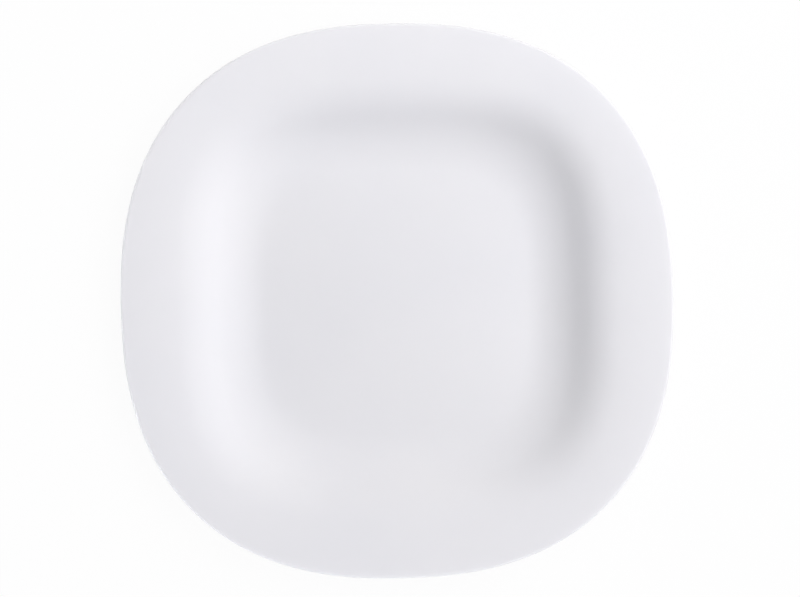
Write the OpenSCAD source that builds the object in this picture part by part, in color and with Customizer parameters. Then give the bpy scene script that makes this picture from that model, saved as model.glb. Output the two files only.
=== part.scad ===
// Square dinner plate of white opal glass, pressed in one piece.
// It stands on its foot at z = 0, with its middle on the Z axis and its sides square to X and Y.
//
// Every level outline of the plate is a superellipse: a circle at the middle of the floor,
// a rounded square where the well turns up, and a soft, bulging square at the lip.
// One section, drawn from the middle of the plate to the middle of a side, gives the heights.
// Each point of the section becomes a ring with the outline of that reach, and the rings are
// skinned from the middle of the floor, over the rim and under the foot, into one solid.

/* [Overall] */
// Width of the plate from lip to lip, in X and in Y
plate_w = 265; // [240:1:300]
// Height of the lip above the table
plate_h = 20; // [18:0.5:26]

/* [Outline] */
// Squareness of the lip's outline: 2 is a circle, and more is squarer
lip_squareness = 2.39; // [2.1:0.01:3]
// Squareness of the well's outline
well_squareness = 3.5; // [2.5:0.1:4.5]
// Power of the way to the lip by which the well's outline turns into the lip's
blend_power = 3; // [1:0.5:4]

/* [Rim] */
// Width of the rim, from the turn of the well's wall to the lip
rim_w = 26.5; // [20:0.5:34]
// Rise of the rim along its width, which ends level at the lip
rim_rise = 1.4; // [0.3:0.1:2.5]

/* [Well] */
// Slope of the wall between its two turns, in degrees from level
wall_slope = 31; // [26:1:34]
// Radius of the turn from the wall out into the rim
shoulder_r = 38; // [20:1:44]
// Radius of the turn from the floor up into the wall
well_r = 39; // [15:1:45]
// Rise of the floor from its edge to its middle
floor_crown = 3; // [0.5:0.1:4]

/* [Glass] */
// Thickness of the floor
floor_t = 3.8; // [3:0.1:5]
// Thickness of the rim and its lip, which the wall tapers to
lip_t = 3.2; // [2.4:0.1:4.5]

/* [Foot] */
// Height of the foot below the floor
foot_h = 1.5; // [0.6:0.1:2.5]
// Width of the flat that the foot stands on
foot_w = 2.6; // [1.5:0.1:4.5]
// Width of the foot where its two flanks run out into the underside
foot_root_w = 7; // [5:0.5:12]

/* [Hidden] */

// Points in each ring, a multiple of 8, so that the middle of each side and corner has one
ring_points = 80;
// Steps along each stretch of the section
crown_steps = 5;
turn_steps = 6;
wall_steps = 2;
rim_steps = 3;
lip_steps = 3;
flank_steps = 5;

// A circle is the superellipse with this squareness
circle_squareness = 2;

// The rim is an arc that is level where the round lip begins and leans by rim_lean at the shoulder
lip_reach = plate_w / 2;
lip_start = lip_reach - lip_t / 2;
shoulder_reach = lip_reach - rim_w;
rim_lean = 2 * atan(rim_rise / (lip_start - shoulder_reach));
rim_r = (lip_start - shoulder_reach) / sin(rim_lean);

// The wall takes the height that its two turns and the rim leave
floor_z = foot_h + floor_t;
well_turn_rise = well_r * (1 - cos(wall_slope));
shoulder_turn_rise = shoulder_r * (cos(rim_lean) - cos(wall_slope));
wall_rise = plate_h - floor_z - well_turn_rise - shoulder_turn_rise - rim_rise;
wall_run = wall_rise / tan(wall_slope);

// The floor is lowest at well_reach, under which the foot stands
well_turn_run = well_r * sin(wall_slope);
shoulder_turn_run = shoulder_r * (sin(wall_slope) - sin(rim_lean));
well_reach = shoulder_reach - shoulder_turn_run - wall_run - well_turn_run;

// The floor is an arc that leans by floor_lean where it meets the turn up into the wall
floor_lean = 2 * atan(floor_crown / well_reach);
floor_r = well_reach / sin(floor_lean) - well_r;
crown_z = floor_z + floor_crown;

function mix(from, to, share) = from + (to - from) * share;

// How far a reach is along a stretch, held between 0 and 1
function way(reach, from, to) = min(1, max(0, (reach - from) / (to - from)));

// Squareness of the outline at a reach, blended as 1 / squareness, which bulges the corners evenly
function squareness(reach) =
    1 / (mix(1 / circle_squareness, 1 / well_squareness, way(reach, 0, well_reach))
        + (1 / lip_squareness - 1 / well_squareness)
            * pow(way(reach, well_reach, lip_start), blend_power));

// Distance from the axis, in a direction, to the outline that has a reach at its four sides
function outline(reach, direction) =
    let (n = squareness(reach))
    reach * pow(pow(abs(cos(direction)), n) + pow(abs(sin(direction)), n), -1 / n);

// A point of the section is its reach, its height and the angle that the glass faces there
function on_arc(centre, r, facing) =
    [centre.x + r * cos(facing), centre.y + r * sin(facing), facing];

// Stretches of the section. Each leaves out its first point, which ends the stretch before it.
function stretch(from, to, steps) = [for (i = [1:steps]) mix(from, to, i / steps)];
function arc(centre, r, from, to, steps) =
    [for (facing = stretch(from, to, steps)) on_arc(centre, r, facing)];

// Upper face, out from the middle of the floor. A hollow turn has a radius below zero.
crown = arc([0, crown_z - floor_r], floor_r, 90, 90 - floor_lean, crown_steps);
well_turn = arc([well_reach, floor_z + well_r], -well_r,
                90 - floor_lean, 90 + wall_slope, turn_steps);
shoulder_centre = [shoulder_reach + shoulder_r * sin(rim_lean),
                   plate_h - rim_rise - shoulder_r * cos(rim_lean)];
wall = stretch(well_turn[turn_steps - 1],
               on_arc(shoulder_centre, shoulder_r, 90 + wall_slope), wall_steps);
shoulder_turn = arc(shoulder_centre, shoulder_r, 90 + wall_slope, 90 + rim_lean, turn_steps);
rim = arc([lip_start, plate_h - rim_r], rim_r, 90 + rim_lean, 90, rim_steps);
upper = concat(crown, well_turn, wall, shoulder_turn, rim);

// Round lip, over its outermost point and back under the rim
lip_centre = [lip_start, plate_h - lip_t / 2];
lip = concat(arc(lip_centre, lip_t / 2, 90, 0, lip_steps),
             arc(lip_centre, lip_t / 2, 0, -90, lip_steps));

// Underside, in towards the axis: each point of the upper face, moved through the glass
function thickness(reach) = mix(floor_t, lip_t, way(reach, well_reach, shoulder_reach));
function through(p) = [p.x - thickness(p.x) * cos(p.z), p.y - thickness(p.x) * sin(p.z)];
under = [for (i = [len(upper) - 2:-1:0]) through(upper[i])];
function under_z(reach) = lookup(reach, under);

// One flank of the foot, from its flat to its root, as a soft S. Outwards is 1, and inwards is -1.
flank_run = (foot_root_w - foot_w) / 2;
function flank(side) =
    [for (i = [0:flank_steps])
        let (share = i / flank_steps, reach = well_reach + side * (foot_w / 2 + flank_run * share))
        [reach, under_z(reach) * (1 - cos(180 * share)) / 2]];
function reversed(list) = [for (i = [len(list) - 1:-1:0]) list[i]];

// The underside stops one step of a flank short of the foot's root, on either side
foot_clear = foot_root_w / 2 + flank_run / flank_steps;
under_rim = [for (p = under) if (p.x > well_reach + foot_clear) p];
under_floor = [for (p = under) if (p.x < well_reach - foot_clear) p];

section = concat(upper, lip, under_rim, reversed(flank(1)), flank(-1), under_floor);

function ring(p) =
    [for (i = [0:ring_points - 1])
        let (direction = 360 * i / ring_points, r = outline(p.x, direction))
        [r * cos(direction), r * sin(direction), p.y]];

// Two triangles across the corners of a quad, which is cut one way where turn is even
function halves(a, b, c, d, turn) =
    turn % 2 == 0 ? [[a, b, c], [a, c, d]] : [[a, b, d], [b, c, d]];

// One closed solid through the rings of a section, from a height on the axis to another
module skin(from_z, section, to_z) {
    rings = len(section);
    points = concat([[0, 0, from_z]], [for (p = section) each ring(p)], [[0, 0, to_z]]);
    function at(k, i) = 1 + k * ring_points + i % ring_points;
    faces = concat(
        [for (i = [0:ring_points - 1]) [0, at(0, i + 1), at(0, i)]],
        [for (k = [0:rings - 2], i = [0:ring_points - 1])
            each halves(at(k, i), at(k, i + 1), at(k + 1, i + 1), at(k + 1, i), k + i)],
        [for (i = [0:ring_points - 1]) [len(points) - 1, at(rings - 1, i), at(rings - 1, i + 1)]]);
    polyhedron(points, faces);
}

module plate() {
    color("ghostwhite")
        skin(crown_z, section, crown_z - floor_t);
}

plate();
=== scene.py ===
import math

import bmesh
import bpy
from mathutils import Matrix, Vector


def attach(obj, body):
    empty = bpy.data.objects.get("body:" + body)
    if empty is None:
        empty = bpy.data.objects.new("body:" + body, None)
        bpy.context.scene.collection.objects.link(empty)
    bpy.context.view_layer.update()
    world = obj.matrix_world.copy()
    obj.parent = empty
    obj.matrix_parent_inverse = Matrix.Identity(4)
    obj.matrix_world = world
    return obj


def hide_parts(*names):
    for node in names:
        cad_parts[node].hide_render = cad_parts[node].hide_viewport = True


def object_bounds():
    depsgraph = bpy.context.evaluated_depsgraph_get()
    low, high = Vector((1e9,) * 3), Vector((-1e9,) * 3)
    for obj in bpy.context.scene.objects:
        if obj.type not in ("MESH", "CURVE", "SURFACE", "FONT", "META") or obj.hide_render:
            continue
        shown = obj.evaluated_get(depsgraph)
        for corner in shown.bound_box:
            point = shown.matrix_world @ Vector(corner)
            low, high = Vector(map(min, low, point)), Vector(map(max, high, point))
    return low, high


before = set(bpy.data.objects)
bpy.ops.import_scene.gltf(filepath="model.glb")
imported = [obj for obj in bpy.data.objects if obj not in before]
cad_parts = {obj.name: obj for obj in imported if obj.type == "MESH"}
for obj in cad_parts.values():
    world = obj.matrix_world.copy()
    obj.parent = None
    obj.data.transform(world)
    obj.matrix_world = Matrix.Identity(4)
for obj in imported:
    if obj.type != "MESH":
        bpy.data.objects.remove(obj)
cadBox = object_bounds()
print("frame loaded")

# lengths in metres and angles in degrees, with the frame's own width and height
lowCorner, highCorner = cadBox
plateShape = {
    "width": highCorner[0] - lowCorner[0],
    "height": highCorner[2] - lowCorner[2],
    "rimWidth": 0.0265,
    "rimRise": 0.0014,
    "shoulderRadius": 0.038,
    "wallSlope": 31,
    "wellRadius": 0.039,
    "floorCrown": 0.003,
    "floorThickness": 0.0038,
    "lipThickness": 0.0032,
    "footHeight": 0.0015,
    "footWidth": 0.0026,
    "footRoot": 0.007,
    "circleSquareness": 2,
    "wellSquareness": 3.5,
    "lipSquareness": 2.39,
    "fadePower": 3,
    "stepsRound": 240,
    "steps": {"floor": 14, "wellTurn": 18, "wall": 6, "shoulder": 18, "rim": 8, "lip": 14},
    "fineReach": 0.006,    # finer steps lie this near to the foot's middle, and below fineHeight
    "fineHeight": 0.004,
    "fineRounds": 2,
    "fineCuts": 2,
    "fineStep": 0.0003,
    "joinWithin": 1e-6,
}


def tangentPoints(shape):
    # where the section's arcs meet, as (reach, height), worked out from the sizes
    slope = math.radians(shape["wallSlope"])
    lipRadius = shape["lipThickness"] / 2
    lipStart = shape["width"] / 2 - lipRadius
    shoulder = shape["width"] / 2 - shape["rimWidth"]
    rimLean = 2 * math.atan(shape["rimRise"] / (lipStart - shoulder))
    rimRadius = (lipStart - shoulder) / math.sin(rimLean)
    floorHeight = shape["footHeight"] + shape["floorThickness"]
    wallRise = (shape["height"] - floorHeight - shape["rimRise"]
                - shape["wellRadius"] * (1 - math.cos(slope))
                - shape["shoulderRadius"] * (math.cos(rimLean) - math.cos(slope)))
    wallRun = wallRise / math.tan(slope)
    well = (shoulder - shape["shoulderRadius"] * (math.sin(slope) - math.sin(rimLean))
            - wallRun - shape["wellRadius"] * math.sin(slope))
    floorLean = 2 * math.atan(shape["floorCrown"] / well)
    floorRadius = well / math.sin(floorLean) - shape["wellRadius"]
    crownHeight = floorHeight + shape["floorCrown"]
    return {
        "slope": shape["wallSlope"],
        "rimLean": math.degrees(rimLean),
        "floorLean": math.degrees(floorLean),
        "crown": (0, crownHeight),
        "crownCentre": (0, crownHeight - floorRadius),
        "well": well,
        "wellCentre": (well, floorHeight + shape["wellRadius"]),
        "wallRun": wallRun,
        "wallRise": wallRise,
        "shoulder": shoulder,
        "shoulderCentre": (shoulder + shape["shoulderRadius"] * math.sin(rimLean),
                           shape["height"] - shape["rimRise"]
                           - shape["shoulderRadius"] * math.cos(rimLean)),
        "rimCentre": (lipStart, shape["height"] - rimRadius),
        "lipStart": lipStart,
        "lipCentre": (lipStart, shape["height"] - lipRadius),
    }


def share(reach, start, end):
    # how far a reach is along a stretch, held between 0 and 1
    return min(1, max(0, (reach - start) / (end - start)))


def mix(first, second, amount):
    return first + (second - first) * amount


def sweep(mesh, tip, centre, degrees, steps):
    # draws an arc from the tip in the XZ plane, and more than 0 degrees bends it down
    made = bmesh.ops.spin(mesh, geom=[tip], cent=(centre[0], 0, centre[1]), axis=(0, 1, 0),
                          angle=math.radians(degrees), steps=steps, use_merge=False)
    return made["geom_last"][0]


def line(mesh, tip, run, rise, steps):
    for _ in range(steps):
        tip = bmesh.ops.extrude_vert_indiv(mesh, verts=[tip])["verts"][0]
        bmesh.ops.translate(mesh, verts=[tip], vec=(run / steps, 0, rise / steps))
    return tip


def throughGlass(v, shape, at):
    # the way down through the glass, at a right angle to the face, which is level at both ends
    ends = sorted([e.other_vert(v).co for e in v.link_edges] + [v.co],
                  key=lambda point: point.x)
    along = (ends[-1] - ends[0]).normalized()
    if v.co.x < shape["joinWithin"] or v.co.x > at["lipStart"] - shape["joinWithin"]:
        along = Vector((1, 0, 0))
    depth = mix(shape["floorThickness"], shape["lipThickness"],
                share(v.co.x, at["well"], at["shoulder"]))
    return Vector((along.z, 0, -along.x)) * depth


def drawSection(mesh, shape, at):
    # the upper face, out from the middle of the floor to where the lip begins
    steps = shape["steps"]
    tip = mesh.verts.new((at["crown"][0], 0, at["crown"][1]))
    tip = sweep(mesh, tip, at["crownCentre"], at["floorLean"], steps["floor"])
    tip = sweep(mesh, tip, at["wellCentre"], -at["floorLean"] - at["slope"], steps["wellTurn"])
    tip = line(mesh, tip, at["wallRun"], at["wallRise"], steps["wall"])
    tip = sweep(mesh, tip, at["shoulderCentre"], at["slope"] - at["rimLean"], steps["shoulder"])
    tip = sweep(mesh, tip, at["rimCentre"], at["rimLean"], steps["rim"])

    # the underside is a copy of it, pushed through the glass
    copied = bmesh.ops.duplicate(mesh, geom=mesh.verts[:] + mesh.edges[:])
    under = [v for v in copied["geom"] if isinstance(v, bmesh.types.BMVert)]
    pushes = [(v, throughGlass(v, shape, at)) for v in under]
    for v, push in pushes:
        v.co += push

    # the round lip joins the two
    sweep(mesh, tip, at["lipCentre"], 180, steps["lip"])
    bmesh.ops.remove_doubles(mesh, verts=mesh.verts[:], dist=shape["joinWithin"])


def pressFoot(mesh, shape, at):
    # finer steps under the edge of the floor, which are pressed down into a ring foot
    flank = (shape["footRoot"] - shape["footWidth"]) / 2

    def nearFoot(v):
        return abs(v.co.x - at["well"]) < shape["fineReach"] and v.co.z < shape["fineHeight"]

    for _ in range(shape["fineRounds"]):
        edges = [e for e in mesh.edges if all(nearFoot(v) for v in e.verts)
                 and e.calc_length() > shape["fineStep"]]
        bmesh.ops.subdivide_edges(mesh, edges=edges, cuts=shape["fineCuts"])
    for v in mesh.verts:
        if nearFoot(v):
            out = share(abs(v.co.x - at["well"]), shape["footWidth"] / 2,
                        shape["footWidth"] / 2 + flank)
            v.co.z *= (1 - math.cos(math.pi * out)) / 2


def squareUp(mesh, shape, at):
    # each ring takes the outline of its reach: round, then square in the well, then bulging
    middle, well, lip = (1 / shape[name] for name in
                         ("circleSquareness", "wellSquareness", "lipSquareness"))
    for v in mesh.verts:
        reach = math.hypot(v.co.x, v.co.y)
        if reach < shape["joinWithin"]:
            continue
        inverse = (mix(middle, well, share(reach, 0, at["well"]))
                   + (lip - well) * share(reach, at["well"], at["lipStart"]) ** shape["fadePower"])
        squareness = 1 / inverse
        across, along = abs(v.co.x / reach), abs(v.co.y / reach)
        stretch = (across ** squareness + along ** squareness) ** -inverse
        v.co.x *= stretch
        v.co.y *= stretch


def placed(mesh, name):
    # turns a bmesh into an object of the scene
    data = bpy.data.meshes.new(name)
    mesh.to_mesh(data)
    mesh.free()
    piece = bpy.data.objects.new(name, data)
    bpy.context.scene.collection.objects.link(piece)
    return piece


def makePlate(shape):
    at = tangentPoints(shape)
    mesh = bmesh.new()
    drawSection(mesh, shape, at)
    pressFoot(mesh, shape, at)
    print("section drawn,", len(mesh.verts), "points")
    bmesh.ops.spin(mesh, geom=mesh.verts[:] + mesh.edges[:], cent=(0, 0, 0), axis=(0, 0, 1),
                   angle=math.tau, steps=shape["stepsRound"], use_merge=True)
    bmesh.ops.remove_doubles(mesh, verts=mesh.verts[:], dist=shape["joinWithin"])
    squareUp(mesh, shape, at)
    bmesh.ops.recalc_face_normals(mesh, faces=mesh.faces[:])
    for face in mesh.faces:
        face.smooth = True
    piece = placed(mesh, "whitePlate")
    print("plate spun and squared,", len(piece.data.polygons), "faces")
    return piece


# the white of the glass, and how far its polish and its pressed face vary
glassLook = {
    "white": (0.885, 0.887, 0.9, 1),
    "milk": (0.868, 0.872, 0.89, 1),
    "cloudSize": 0.09,
    "cloudDetail": 3,
    "cloudRange": (0.35, 0.65),
    "polish": (0.09, 0.14),
    "patchSize": 0.0225,
    "patchDetail": 4,
    "patchRange": (0.3, 0.7),
    "footGround": 0.5,
    "groundHeight": (0.00005, 0.0003),
    "wave": 0.00006,
    "waveSize": 0.045,
    "waveDetail": 1,
    "ior": 1.5,
    "glow": 0.6,
    "glowDepth": 0.003,
}


def emptyTree(holder):
    holder.use_nodes = True
    holder.node_tree.nodes.clear()
    return holder.node_tree.nodes, holder.node_tree.links


def addNode(nodes, kind, **settings):
    # each new node stands to the right of the ones before it
    column = len(nodes)
    node = nodes.new(kind)
    node.location = (200 * column, 0)
    for name, value in settings.items():
        setattr(node, name, value)
    return node


def addMath(nodes, links, operation, *values):
    # takes plain numbers and other nodes' outputs alike
    node = addNode(nodes, "ShaderNodeMath", operation=operation)
    for socket, value in zip(node.inputs, values):
        if isinstance(value, bpy.types.NodeSocket):
            links.new(value, socket)
        else:
            socket.default_value = value
    return node.outputs["Value"]


def addRange(nodes, links, value, before, after, easing="LINEAR"):
    node = addNode(nodes, "ShaderNodeMapRange", interpolation_type=easing)
    node.inputs["From Min"].default_value, node.inputs["From Max"].default_value = before
    node.inputs["To Min"].default_value, node.inputs["To Max"].default_value = after
    links.new(value, node.inputs["Value"])
    return node.outputs["Result"]


def addNoise(nodes, links, place, size, detail):
    node = addNode(nodes, "ShaderNodeTexNoise")
    node.inputs["Scale"].default_value = 1 / size
    node.inputs["Detail"].default_value = detail
    links.new(place, node.inputs["Vector"])
    return node.outputs["Fac"]


def makeGlass(look):
    material = bpy.data.materials.new("opalGlass")
    nodes, links = emptyTree(material)
    output = addNode(nodes, "ShaderNodeOutputMaterial")
    shader = addNode(nodes, "ShaderNodeBsdfPrincipled")
    links.new(shader.outputs["BSDF"], output.inputs["Surface"])
    shader.inputs["IOR"].default_value = look["ior"]
    shader.inputs["Subsurface Weight"].default_value = look["glow"]
    shader.inputs["Subsurface Radius"].default_value = (1, 1, 1)
    shader.inputs["Subsurface Scale"].default_value = look["glowDepth"]
    place = addNode(nodes, "ShaderNodeTexCoord").outputs["Object"]

    # the white drifts a little, as pressed opal glass does
    cloud = addNoise(nodes, links, place, look["cloudSize"], look["cloudDetail"])
    tint = addNode(nodes, "ShaderNodeValToRGB")
    colours = (look["milk"], look["white"])
    for stop, position, colour in zip(tint.color_ramp.elements, look["cloudRange"], colours):
        stop.position = position
        stop.color = colour
    links.new(cloud, tint.inputs["Fac"])
    links.new(tint.outputs["Color"], shader.inputs["Base Color"])

    # fire polish, a little duller in patches, and ground dull where the foot stands
    patches = addNoise(nodes, links, place, look["patchSize"], look["patchDetail"])
    polish = addRange(nodes, links, patches, look["patchRange"], look["polish"])
    axes = addNode(nodes, "ShaderNodeSeparateXYZ")
    links.new(place, axes.inputs["Vector"])
    dull = (look["footGround"], 0)
    ground = addRange(nodes, links, axes.outputs["Z"], look["groundHeight"], dull)
    rough = addMath(nodes, links, "MAXIMUM", polish, ground)
    links.new(rough, shader.inputs["Roughness"])

    # the long, low waves that a press leaves in the face
    waves = addNoise(nodes, links, place, look["waveSize"], look["waveDetail"])
    bump = addNode(nodes, "ShaderNodeBump")
    bump.inputs["Strength"].default_value = 1
    bump.inputs["Distance"].default_value = look["wave"]
    links.new(waves, bump.inputs["Height"])
    links.new(bump.outputs["Normal"], shader.inputs["Normal"])
    return material


plate = makePlate(plateShape)
plate.data.materials.append(makeGlass(glassLook))
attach(plate, "root")
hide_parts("plate")
print("plate dressed")

# a white table top that runs out of sight, and still shows a little of the shadow
floorLook = {
    "half": 6,
    "white": (0.96, 0.96, 0.965, 1),
    "shadowShare": 0.05,
}


def seenDirectly(nodes, links):
    # 1 for the rays that should find a plain white ground
    path = addNode(nodes, "ShaderNodeLightPath").outputs
    either = addMath(nodes, links, "MAXIMUM", path["Is Camera Ray"], path["Is Glossy Ray"])
    return addMath(nodes, links, "MAXIMUM", either, path["Is Transmission Ray"])


def makeFloor(look):
    mesh = bmesh.new()
    bmesh.ops.create_grid(mesh, x_segments=1, y_segments=1, size=look["half"])
    table = placed(mesh, "whiteTable")
    material = bpy.data.materials.new("whiteTableTop")
    nodes, links = emptyTree(material)
    lit = addNode(nodes, "ShaderNodeBsdfDiffuse")
    lit.inputs["Color"].default_value = look["white"]
    plain = addNode(nodes, "ShaderNodeEmission")
    plain.inputs["Color"].default_value = (1, 1, 1, 1)
    plain.inputs["Strength"].default_value = 1
    plainShare = 1 - look["shadowShare"]
    amount = addMath(nodes, links, "MULTIPLY", seenDirectly(nodes, links), plainShare)
    both = addNode(nodes, "ShaderNodeMixShader")
    links.new(amount, both.inputs["Fac"])
    links.new(lit.outputs["BSDF"], both.inputs[1])
    links.new(plain.outputs["Emission"], both.inputs[2])
    output = addNode(nodes, "ShaderNodeOutputMaterial")
    links.new(both.outputs["Shader"], output.inputs["Surface"])
    table.data.materials.append(material)


makeFloor(floorLook)
print("floor laid")

# azimuth turns from the right of the photo to its top, and glows are soft lobes of the sky
studio = {
    "glowTightness": 8,
    "glows": [
        {"azimuth": 0, "elevation": 90, "strength": 0.67, "colour": (0.92, 0.93, 1)},
        {"azimuth": 0, "elevation": 62, "strength": 2.07, "colour": (1, 0.99, 1)},
        {"azimuth": 60, "elevation": 62, "strength": 0.72, "colour": (0.96, 0.95, 1)},
        {"azimuth": 67, "elevation": 12, "strength": 0.2, "colour": (1, 0.72, 0.4)},
        {"azimuth": 292, "elevation": 12, "strength": 1.54, "colour": (0.94, 0.93, 1)},
    ],
    "horizon": {"azimuth": 205, "tightness": 150, "strength": 110, "colour": (0.97, 0.98, 1)},
    "softbox": {"azimuth": 55, "elevation": 40, "distance": 1, "width": 1.2, "fade": 0.2,
                "power": 5.8, "colour": (0.99, 0.98, 1)},
}


def toward(azimuth, elevation):
    around, up = math.radians(azimuth), math.radians(elevation)
    return Vector((math.cos(around) * math.cos(up), math.sin(around) * math.cos(up),
                   math.sin(up)))


def addFacing(nodes, links, place, direction):
    # 1 towards a direction, and down to 0 at a right angle to it
    facing = addNode(nodes, "ShaderNodeVectorMath", operation="DOT_PRODUCT")
    facing.inputs[1].default_value = direction
    links.new(place, facing.inputs[0])
    return addMath(nodes, links, "MAXIMUM", facing.outputs["Value"], 0)


def addSky(nodes, links, lobe, settings):
    strength = addMath(nodes, links, "MULTIPLY", lobe, settings["strength"])
    sky = addNode(nodes, "ShaderNodeBackground")
    sky.inputs["Color"].default_value = (*settings["colour"], 1)
    links.new(strength, sky.inputs["Strength"])
    return sky.outputs["Background"]


def addGlow(nodes, links, place, glow, tightness):
    facing = addFacing(nodes, links, place, toward(glow["azimuth"], glow["elevation"]))
    lobe = addMath(nodes, links, "POWER", facing, tightness)
    return addSky(nodes, links, lobe, glow)


def addHorizon(nodes, links, place, strip):
    # a low, bright strip of the backdrop, which lights the lip and passes over the well
    facing = addFacing(nodes, links, place, toward(strip["azimuth"], 0))
    axes = addNode(nodes, "ShaderNodeSeparateXYZ")
    links.new(place, axes.inputs["Vector"])
    height = addMath(nodes, links, "ABSOLUTE", axes.outputs["Z"])
    low = addMath(nodes, links, "SUBTRACT", 1, height)
    band = addMath(nodes, links, "POWER", low, strip["tightness"])
    lobe = addMath(nodes, links, "MULTIPLY", facing, band)
    return addSky(nodes, links, lobe, strip)


def lightWorld(settings):
    world = bpy.data.worlds.new("paleStudio")
    bpy.context.scene.world = world
    nodes, links = emptyTree(world)
    place = addNode(nodes, "ShaderNodeTexCoord").outputs["Generated"]
    sky = addHorizon(nodes, links, place, settings["horizon"])
    for glow in settings["glows"]:
        part = addGlow(nodes, links, place, glow, settings["glowTightness"])
        total = addNode(nodes, "ShaderNodeAddShader")
        links.new(sky, total.inputs[0])
        links.new(part, total.inputs[1])
        sky = total.outputs["Shader"]
    plain = addNode(nodes, "ShaderNodeBackground")
    plain.inputs["Color"].default_value = (1, 1, 1, 1)
    plain.inputs["Strength"].default_value = 1
    both = addNode(nodes, "ShaderNodeMixShader")
    links.new(seenDirectly(nodes, links), both.inputs["Fac"])
    links.new(sky, both.inputs[1])
    links.new(plain.outputs["Background"], both.inputs[2])
    output = addNode(nodes, "ShaderNodeOutputWorld")
    links.new(both.outputs["Shader"], output.inputs["Surface"])


def addSoftbox(box):
    # a round lamp that faces the plate and fades towards its edge
    light = bpy.data.lights.new("keySoftbox", "AREA")
    light.shape = "DISK"
    light.size = box["width"]
    light.energy = box["power"]
    light.color = box["colour"]
    nodes, links = emptyTree(light)
    half = 0.5    # the lamp's own coordinates run from 0 to 1
    middle = addNode(nodes, "ShaderNodeVectorMath", operation="DISTANCE")
    middle.inputs[1].default_value = (half, half, 0)
    links.new(addNode(nodes, "ShaderNodeNewGeometry").outputs["Parametric"], middle.inputs[0])
    fade = addRange(nodes, links, middle.outputs["Value"], (half - box["fade"], half), (1, 0),
                    "SMOOTHSTEP")
    glow = addNode(nodes, "ShaderNodeEmission")
    links.new(fade, glow.inputs["Strength"])
    output = addNode(nodes, "ShaderNodeOutputLight")
    links.new(glow.outputs["Emission"], output.inputs["Surface"])
    facing = toward(box["azimuth"], box["elevation"])
    holder = bpy.data.objects.new("keySoftbox", light)
    holder.matrix_world = (Matrix.Translation(facing * box["distance"])
                           @ facing.to_track_quat("Z", "Y").to_matrix().to_4x4())
    holder.visible_camera = False
    holder.visible_glossy = False    # the glass mirrors only the white surroundings
    bpy.context.scene.collection.objects.link(holder)


lightWorld(studio)
addSoftbox(studio["softbox"])
print("lamps set")

# the photo is taken from above, from a few degrees to the left, with the plate turned a little
cameraView = {
    "lens": 135,
    "sensor": 36,
    "frameWidth": 800,     # pixels of the photo
    "plateWidth": 555.5,   # pixels of the plate from lip to lip
    "lean": -5,
    "turn": -1.232,
    "offset": (0.00018, 0.0011),
}


def setCamera(settings, shape):
    data = bpy.data.cameras.new("overhead")
    data.lens = settings["lens"]
    data.sensor_width = settings["sensor"]
    camera = bpy.data.objects.new("overhead", data)
    seen = shape["width"] * settings["frameWidth"] / settings["plateWidth"]
    away = seen * settings["lens"] / settings["sensor"]
    turned = Matrix.Rotation(math.radians(settings["turn"]), 4, "Z")
    leaned = Matrix.Rotation(math.radians(settings["lean"]), 4, "Y")
    across, along = settings["offset"]
    camera.matrix_world = (Matrix.Translation((0, 0, shape["height"])) @ turned
                           @ Matrix.Translation((across, along, 0)) @ leaned
                           @ Matrix.Translation((0, 0, away)))
    bpy.context.scene.collection.objects.link(camera)
    bpy.context.scene.camera = camera


setCamera(cameraView, plateShape)
bpy.context.scene.view_settings.view_transform = "Standard"
print("camera set")
